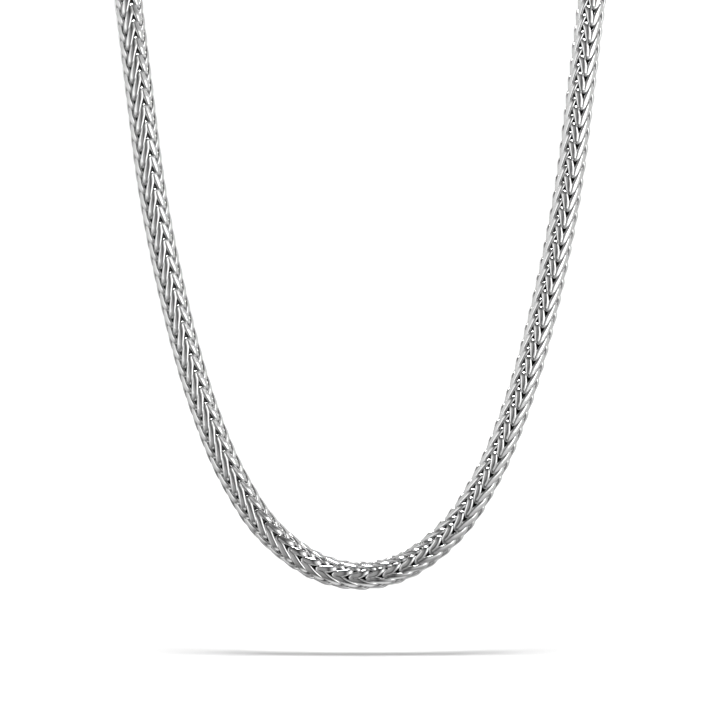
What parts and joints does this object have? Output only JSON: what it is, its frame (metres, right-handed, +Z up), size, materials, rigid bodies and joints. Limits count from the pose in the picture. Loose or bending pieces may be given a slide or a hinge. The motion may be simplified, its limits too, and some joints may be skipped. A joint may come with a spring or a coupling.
{
  "type": "foxtail chain",
  "caption": "Closed neck chain of square woven foxtail links, hanging in a deep U in front and joined behind the neck by a plain barrel clasp.",
  "frame": {"origin": "the point at the back of the neck where the clasp's neck side rests on the wearer", "axes": "+Z up, -Y to the front where the chain hangs, +X to the wearer's left"},
  "size_m": [0.1144, 0.1154, 0.172],
  "materials": {
    "chain_metal": "polished",
    "clasp_metal": "polished"
  },
  "bodies": {
    "root": {"chain": "chain_metal", "clasp": "clasp_metal"}
  },
  "joints": []
}
